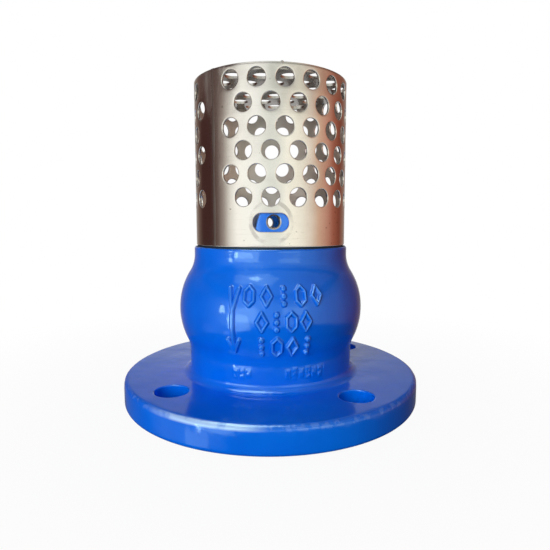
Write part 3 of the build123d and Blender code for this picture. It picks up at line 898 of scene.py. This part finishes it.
def blue_epoxy():
    """Thick glossy fusion-bonded epoxy: soft orange peel, nibs of dust, a slightly uneven blue, and
    painted highlights and shade.
    """
    n = Material("blue_epoxy")
    cloud = n.noise(28, 3)
    fine = n.noise(160, 3)
    blue = n.mix(n.ramp(cloud, 0.35, 0.65), (0.0, 0.125, 0.78), (0.0, 0.15, 0.86))
    x, y, z = n.axes()
    # A painted highlight along the flange's rounded edge: a pale strip, unbroken only at the front left
    # and thin and patchy elsewhere
    rim = n.ramp(n.length(x, y), FLANGE_R - 2.1, FLANGE_R - 1.3)
    rim = n.times(rim, n.ramp(z, FLANGE_TOP - 3.4, FLANGE_TOP - 2.2))
    bright = n.times(n.ramp(x, -64, -48), n.ramp(x, -14, 0, 1.0, 0.0), n.ramp(y, -20, -40))
    broken = n.times(n.ramp(n.noise(260, 4), 0.5, 0.62), 0.16)
    painted_edge_highlight = n.times(rim, n.math("MAXIMUM", n.times(bright, n.ramp(fine, 0.2, 0.5)), broken))
    blue = n.mix(painted_edge_highlight, blue, (0.42, 0.58, 1.0))
    # Painted highlight on ridges and painted shade in hollows, read from pointiness
    relief_highlight_and_shade = n.add("ShaderNodeNewGeometry").outputs["Pointiness"]
    blue = n.mix(n.ramp(relief_highlight_and_shade, 0.515, 0.56, 0.0, 0.55), blue, (0.10, 0.36, 1.0))
    blue = n.mix(n.ramp(relief_highlight_and_shade, 0.485, 0.44, 0.0, 0.7), blue, (0.0, 0.05, 0.42))
    # Painted shade in the joint below the strainer: near black, and rougher there
    joint_shade = n.ramp(z, SHOULDER_Z - 0.3, SHOULDER_Z)
    joint_shade = n.times(joint_shade, n.ramp(z, TUBE_LOW + 0.1, TUBE_LOW + 0.3, 1.0, 0.0))
    rough = n.math("ADD", n.ramp(fine, 0.3, 0.7, 0.07, 0.13), n.times(joint_shade, 0.5))
    n.set(Base_Color=n.mix(joint_shade, blue, (0.004, 0.008, 0.03)), Roughness=rough)
    nibs = n.add("ShaderNodeTexVoronoi", {"Vector": n.place, "Scale": 150.0}).outputs["Distance"]
    nibs = n.times(n.ramp(nibs, 0.03, 0.1, 1.0, 0.0), n.ramp(n.noise(60, 1), 0.62, 0.66))
    n.bump((n.noise(85, 2), 0.6, 0.22), (n.noise(520, 2), 0.5, 0.035), (nibs, 0.6, 0.06))
    n.set(IOR=1.62, Specular_Tint=(0.62, 1.0, 0.98))
    return n.material


def sheet_steel():
    """Bright rolled stainless: faint lines round it, whitish smears, a washer's rub mark, scratches."""
    n = Material("sheet_steel")
    x, y, z = n.axes()
    front = n.ramp(y, -20, -30)
    lines = n.noise(60, 4, (1.0, 1.0, 60.0), 0.65)
    cloud = n.noise(38, 4)
    # The washer's rub mark, a ring round the front slot
    reach = n.length(n.math("SUBTRACT", x, 0.6), n.math("SUBTRACT", z, SLOT_Z))
    ring = n.times(n.ramp(reach, 9.8, 10.4), n.ramp(reach, 11.9, 12.5, 1.0, 0.0))
    rubbed = n.times(ring, front, n.ramp(n.noise(120, 4), 0.42, 0.62))
    # Smears at the upper front left, scratches and specks mostly on the plain band
    corner = n.times(n.ramp(x, -14, -26), n.ramp(z, 135, 165))
    smear = n.ramp(n.noise(75, 5, (1.0, 1.0, 0.22), 0.6), 0.5, 0.66)
    smeared = n.times(smear, corner, front)
    low = n.ramp(z, 122, 112, 0.25, 1.0)
    lined = n.ramp(n.noise(30, 6, (1.0, 1.0, 70.0), 0.8), 0.63, 0.68)
    scratch = n.times(lined, low, front)
    specks = n.times(n.ramp(n.noise(420, 2), 0.72, 0.76), low)
    colour = n.mix(n.ramp(cloud, 0.45, 0.75), ROLLED_STEEL, (0.68, 0.65, 0.605))
    colour = n.mix(n.times(scratch, 0.75), colour, (0.30, 0.24, 0.22))
    colour = n.mix(n.times(rubbed, 0.25), colour, (0.50, 0.47, 0.43))
    colour = n.mix(specks, colour, (0.10, 0.08, 0.07))
    colour = n.mix(n.times(smeared, 0.5), colour, (0.90, 0.89, 0.86))
    rough = n.math("ADD", n.ramp(cloud, 0.3, 0.75, 0.09, 0.2), n.ramp(lines, 0.45, 0.75, 0.0, 0.08))
    rough = n.math("ADD", rough, n.times(n.math("MAXIMUM", smeared, rubbed), 0.3))
    n.bump((lines, 0.25, 0.02), (scratch, 0.5, 0.03), (smeared, 0.6, 0.05), (n.noise(55, 3), 0.45, 0.10))
    n.set(Base_Color=colour, Roughness=rough, Metallic=1.0)
    return n.material


def plate_steel():
    """The strainer's end plate: bright rolled steel on its upper face, dark on its lower face as painted
    shade.
    """
    n = Material("plate_steel")
    normal = n.add("ShaderNodeNewGeometry").outputs["Normal"]
    up = n.add("ShaderNodeSeparateXYZ", {0: normal}).outputs["Z"]
    cloud = n.noise(40, 4)
    lines = n.noise(60, 4, (1.0, 40.0, 1.0), 0.6)
    outside = n.mix(n.ramp(cloud, 0.4, 0.75), ROLLED_STEEL, (0.66, 0.63, 0.59))
    # Painted shade: the plate is dark where its faces look down
    colour = n.mix(n.ramp(up, -0.3, 0.3), (0.22, 0.21, 0.20), outside)
    rough = n.math("ADD", n.ramp(cloud, 0.3, 0.7, 0.09, 0.2), n.ramp(lines, 0.45, 0.75, 0.0, 0.1))
    n.bump((lines, 0.25, 0.02))
    n.set(Base_Color=colour, Roughness=rough, Metallic=1.0)
    return n.material


def plain_metal(name, colour, roughness, scale=180.0, bump=0.02):
    """A metal with soft cloudy wear."""
    n = Material(name)
    cloud = n.noise(scale / 3, 4)
    dark = tuple(0.8 * channel for channel in colour)
    rough = n.ramp(cloud, 0.3, 0.7, roughness * 0.8, roughness * 1.3)
    n.bump((n.noise(scale * 4, 3), 0.3, bump))
    n.set(Base_Color=n.mix(n.ramp(cloud, 0.35, 0.7), colour, dark), Roughness=rough, Metallic=1.0)
    return n.material


def turned_metal(name, colour, roughness):
    """A lathe-turned metal: fine rings about the axis, in the bump and the gloss."""
    n = Material(name)
    x, y, z = n.axes()
    reach = n.math("ADD", n.length(x, y), z)
    rings = n.math("SINE", n.times(reach, 2 * math.pi / 0.35))
    cloud = n.noise(90, 4)
    dark = tuple(0.75 * channel for channel in colour)
    rough = n.ramp(cloud, 0.3, 0.7, roughness * 0.8, roughness * 1.25)
    n.bump((rings, 0.25, 0.012), (n.noise(400, 2), 0.2, 0.02))
    n.set(Base_Color=n.mix(n.ramp(cloud, 0.4, 0.75), colour, dark), Roughness=rough, Metallic=1.0)
    return n.material


def black_rubber():
    n = Material("black_rubber")
    cloud = n.noise(120, 4)
    n.bump((n.noise(900, 3), 0.3, 0.03))
    colour = n.mix(cloud, (0.012, 0.012, 0.013), (0.03, 0.03, 0.032))
    n.set(Base_Color=colour, Roughness=n.ramp(cloud, 0.3, 0.7, 0.45, 0.65))
    return n.material


def pale_floor():
    """A white floor that takes a soft contact shadow and fades into the white backdrop."""
    n = Material("pale_floor")
    diffuse = n.add("ShaderNodeBsdfDiffuse", {"Color": (0.86, 0.86, 0.87)}).outputs[0]
    glow = n.add("ShaderNodeEmission", {"Color": (1, 1, 1), "Strength": 1.0}).outputs[0]
    distance = n.add("ShaderNodeVectorMath", {0: n.place}, operation="LENGTH").outputs["Value"]
    share = n.ramp(distance, FLANGE_R * MM, 3.5 * FLANGE_R * MM, 0.95, 1.0)
    mixed = n.add("ShaderNodeMixShader", {0: share, 1: diffuse, 2: glow}).outputs[0]
    n.fill(n.tree.nodes["Material Output"].inputs["Surface"], mixed)
    return n.material


# ---------------------------------------------------------------- stage, light and camera

def linear(red, green, blue):
    """A colour from display values of 0 to 255, none of them close to black."""
    return tuple(((value / 255 + 0.055) / 1.055) ** 2.4 for value in (red, green, blue))


# The room around the valve, as (azimuth from the front, colour): at eye level, under the bench's edge
# and higher up
ROOM = (
    (-180, (1.0, 0.98, 0.96)),
    (-168, (0.90, 0.88, 0.86)),
    (-158, (0.40, 0.35, 0.32)),
    (-140, linear(118, 96, 86)),
    (-124, linear(72, 45, 42)),
    (-98, linear(70, 44, 42)),
    (-84, linear(108, 90, 86)),
    (-72, linear(168, 156, 148)),
    (-62, (0.85, 0.82, 0.76)),
    (-50, (1.20, 1.19, 1.13)),
    (-20, (1.20, 1.22, 1.18)),
    (-2, (0.98, 1.02, 0.96)),
    (10, (0.98, 1.02, 0.95)),
    (24, (1.20, 1.18, 1.06)),
    (46, (1.10, 1.06, 0.92)),
    (62, (0.90, 0.78, 0.66)),
    (76, linear(222, 182, 156)),
    (92, linear(205, 150, 130)),
    (108, linear(166, 98, 78)),
    (128, linear(128, 66, 50)),
    (148, linear(150, 118, 104)),
    (162, (0.40, 0.36, 0.35)),
    (170, (0.90, 0.88, 0.86)),
    (180, (1.0, 0.98, 0.96)),
)
BENCH = (
    (-180, (0.20, 0.20, 0.20)),
    (-100, (0.03, 0.03, 0.035)),
    (-84, (0.40, 0.40, 0.39)),
    (-38, (0.45, 0.45, 0.44)),
    (-30, (0.03, 0.03, 0.03)),
    (60, (0.05, 0.05, 0.06)),
    (120, (0.06, 0.03, 0.03)),
    (180, (0.20, 0.20, 0.20)),
)
HIGH = (
    (-180, (0.62, 0.60, 0.58)),
    (-130, linear(110, 90, 84)),
    (-70, linear(96, 78, 76)),
    (-56, linear(120, 110, 106)),
    (-46, (0.98, 0.98, 0.95)),
    (-10, (0.98, 0.99, 0.95)),
    (4, (0.66, 0.68, 0.64)),
    (44, (0.66, 0.64, 0.56)),
    (76, linear(190, 150, 130)),
    (108, linear(150, 98, 80)),
    (140, linear(140, 100, 86)),
    (180, (0.62, 0.60, 0.58)),
)
UNDER = (0.02, 0.02, 0.025)
CEILING = (0.50, 0.52, 0.56)
UNDER_EDGE = (-0.50, -0.43)
BENCH_EDGE = (-0.36, -0.24)
HIGH_EDGE = (0.20, 0.34)
CEILING_EDGE = (0.90, 0.97)
BEAM = (0.38, 0.43, 0.50, 0.56)
BEAM_SHADE = 0.45
# What lights matt surfaces: a soft glow that is strongest from the front, and a dimmer one from above
SOFT = (
    (-180, (0.24, 0.22, 0.24)),
    (-100, (0.30, 0.22, 0.31)),
    (-60, (0.40, 0.35, 0.40)),
    (-20, (0.62, 0.67, 0.62)),
    (15, (0.36, 0.40, 0.36)),
    (40, (0.02, 0.02, 0.02)),
    (110, (0.04, 0.03, 0.04)),
    (180, (0.24, 0.22, 0.24)),
)
SOFT_TOP = (0.04, 0.04, 0.04)
SOFT_EDGE = (0.3, 0.9)
# Lights that only the painted pieces get: name, azimuth, height of its middle in millimetres, width and
# height in metres, radiance, metres away, and whether it is matt light or a reflection
PAINT_LIGHTS = (
    ("window", -33, 40, 0.62, 0.34, 1.8, 1.0, False),
    ("glint", -58, 125, 0.12, 0.16, 7.0, 1.0, False),
    ("low_window", -37, -160, 0.46, 0.40, 2.0, 1.0, False),
    ("low_glint", -49, -160, 0.05, 0.40, 9.0, 1.0, False),
    ("zenith", -50, 1100, 0.75, 0.70, 5.0, 0.35, False),
    ("flange_window", -52, -450, 0.34, 0.10, 1.0, 1.0, False),
    ("right_window", 27, 141, 0.53, 0.20, 0.9, 1.0, False),
    ("overhead", -28, 950, 0.80, 0.50, 1.1, 0.55, False),
    ("key", -24, 380, 0.50, 0.50, 9.4, 1.0, True),
    ("back_light", 165, 500, 0.90, 0.60, 1.6, 1.0, True),
)
MATT_TINT = (0.88, 1.0, 0.9)
AIM_Z = 80.0
# The disc that stands for the pale floor in the bright metal: radius in metres and radiance
GLOW_R = 0.34
GLOW = 0.6
FLOOR_R = 6.0


def make_world():
    """A bright room in front, dark brown to the left, red-brown to the right; white to the camera."""
    world = bpy.data.worlds.new("studio")
    bpy.context.scene.world = world
    world.use_nodes = True
    world.node_tree.nodes.clear()
    n = Tree(world.node_tree)
    direction = n.add("ShaderNodeTexCoord").outputs["Generated"]
    x, y, height = n.add("ShaderNodeSeparateXYZ", {0: direction}).outputs
    turn = n.math("ARCTAN2", x, n.times(y, -1.0))
    around = n.ramp(turn, -math.pi, math.pi)

    def colours(stops):
        node = n.add("ShaderNodeValToRGB", {0: around})
        elements = node.color_ramp.elements
        while len(elements) < len(stops):
            elements.new(0.5)
        for element, (azimuth, colour) in zip(elements, stops):
            element.position = (azimuth + 180) / 360
            element.color = (*colour, 1.0)
        return node.outputs[0]

    def step(low, high):
        return n.ramp(height, low, high, shape="SMOOTHSTEP")

    room = n.mix(step(*HIGH_EDGE), colours(ROOM), colours(HIGH))
    colour = n.mix(step(*BENCH_EDGE), colours(BENCH), room)
    colour = n.mix(step(*UNDER_EDGE), UNDER, colour)
    beam = n.math("SUBTRACT", step(*BEAM[:2]), step(*BEAM[2:]))
    colour = n.mix(beam, colour, (BEAM_SHADE,) * 3, "MULTIPLY")
    colour = n.mix(step(*CEILING_EDGE), colour, CEILING)
    soft = n.mix(step(*SOFT_EDGE), colours(SOFT), SOFT_TOP)
    path = n.add("ShaderNodeLightPath").outputs
    colour = n.mix(path["Is Diffuse Ray"], colour, soft)
    lit = n.add("ShaderNodeBackground", {"Color": colour, "Strength": 1.0}).outputs[0]
    seen = n.add("ShaderNodeBackground", {"Color": (1, 1, 1), "Strength": 1.0}).outputs[0]
    pick = n.add("ShaderNodeMixShader", {0: path["Is Camera Ray"], 1: lit, 2: seen}).outputs[0]
    n.add("ShaderNodeOutputWorld", {0: pick})


def place_light(name, data, place, turn, only, matt=False):
    """An area light that lights only some pieces, either as matt light or as a reflection."""
    light = bpy.data.objects.new(name, data)
    light.location = place
    light.rotation_euler = turn
    light.visible_camera = False
    light.visible_glossy = not matt
    light.visible_diffuse = matt
    bpy.context.scene.collection.objects.link(light)
    lit = bpy.data.collections.new(name + "_lit")
    for piece in only:
        lit.objects.link(piece)
    light.light_linking.receiver_collection = lit


def make_paint_light(only, name, azimuth, height, width, tall, radiance, away, matt):
    """A rectangular light aimed at the valve."""
    data = bpy.data.lights.new(name, "AREA")
    data.shape = "RECTANGLE"
    data.size = width
    data.size_y = tall
    data.energy = radiance * math.pi * width * tall
    if matt:
        data.color = MATT_TINT
    place = Vector(at(azimuth, away / MM, height))
    aim = Vector((0, 0, AIM_Z * MM)) - place
    place_light(name, data, place, aim.to_track_quat("-Z", "Y").to_euler(), only, matt)


def make_floor_glow(only):
    """The pale floor's reflection in the bright metal; the paint keeps the dark bench."""
    data = bpy.data.lights.new("floor_glow", "AREA")
    data.shape = "DISK"
    data.size = 2 * GLOW_R
    data.energy = GLOW * math.pi * (math.pi * GLOW_R**2)
    place_light("floor_glow", data, (0, 0, 0.5 * MM), (math.pi, 0, 0), only)


def make_floor():
    place = (0, 0, -0.2 * MM)
    bpy.ops.mesh.primitive_circle_add(vertices=96, radius=FLOOR_R, fill_type="NGON", location=place)
    floor = bpy.context.object
    floor.name = "floor"
    floor.data.materials.append(pale_floor())
    floor.visible_diffuse = False
    floor.visible_glossy = False


def make_camera():
    data = bpy.data.cameras.new("camera")
    data.lens = LENS
    data.sensor_width = 36
    data.clip_start = 0.01
    camera = bpy.data.objects.new("camera", data)
    camera.location = tuple(value * MM for value in CAMERA_PLACE)
    camera.rotation_euler = (math.radians(90 - CAMERA_PITCH), 0, math.radians(CAMERA_YAW))
    bpy.context.scene.collection.objects.link(camera)
    bpy.context.scene.camera = camera
    bpy.context.scene.view_settings.view_transform = "Standard"


# ---------------------------------------------------------------- everything together

def dress(node, material):
    """A CAD node keeps its shape and gets a material."""
    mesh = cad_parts[node].data
    mesh.materials.clear()
    mesh.materials.append(material)


make_camera()
make_world()

PAINT = blue_epoxy()
STEEL = sheet_steel()
# The sheet's inner face: the same steel painted lighter, as painted light inside the strainer
INSIDE_LIGHTENED = plain_metal("inside_steel_lightened", (0.85, 0.81, 0.76), 0.32, 60.0)
PLATE = plate_steel()
WELD = plain_metal("weld_steel", (0.62, 0.60, 0.56), 0.3)
BRONZE = turned_metal("turned_bronze", (0.76, 0.50, 0.24), 0.28)
BUSH = turned_metal("bush_bronze", (0.70, 0.42, 0.20), 0.32)
CAST_STEEL = plain_metal("cast_steel", (0.50, 0.50, 0.50), 0.42, 260.0, 0.05)
BARE_IRON = turned_metal("machined_iron", (0.42, 0.40, 0.37), 0.38)
TURNED = turned_metal("turned_steel", (0.68, 0.68, 0.68), 0.25)
WIRE = plain_metal("spring_wire", (0.60, 0.60, 0.62), 0.26)
FASTENER = plain_metal("bright_fastener", (0.66, 0.66, 0.67), 0.27)
RUBBER = black_rubber()

painted = [
    make_casting(PAINT, BARE_IRON),
    make_lug("front_lug", "front_strainer_lug", LUG_AZIMUTH, PAINT, BARE_IRON),
    make_lug("rear_lug", "rear_strainer_lug", LUG_AZIMUTH + 180, PAINT, BARE_IRON),
]
for values in PAINT_LIGHTS:
    make_paint_light(painted, *values)
make_strainer(STEEL, INSIDE_LIGHTENED)
make_seam(WELD)
make_spring(WIRE)
for material, nodes in (
    (PLATE, ["strainer_end_plate"]),
    (WELD, ["end_plate_tack_welds"]),
    (BRONZE, ["seat_ring"]),
    (BUSH, ["inlet_guide_bush", "outlet_guide_bush"]),
    (RUBBER, ["seat_ring_o_ring", "disc_seal"]),
    (CAST_STEEL, ["outlet_guide"]),
    (WIRE, ["outlet_circlip"]),
    (TURNED, ["stem", "valve_disc", "seal_clamp_plate"]),
    (FASTENER, ["spring_seat_washer", "spring_cup", "stem_washer", "stem_nut", "split_pin"]),
):
    for node in nodes:
        dress(node, material)
metal = [item for item in bpy.context.scene.objects if item.type == "MESH" and item not in painted]
make_floor()
make_floor_glow(metal)
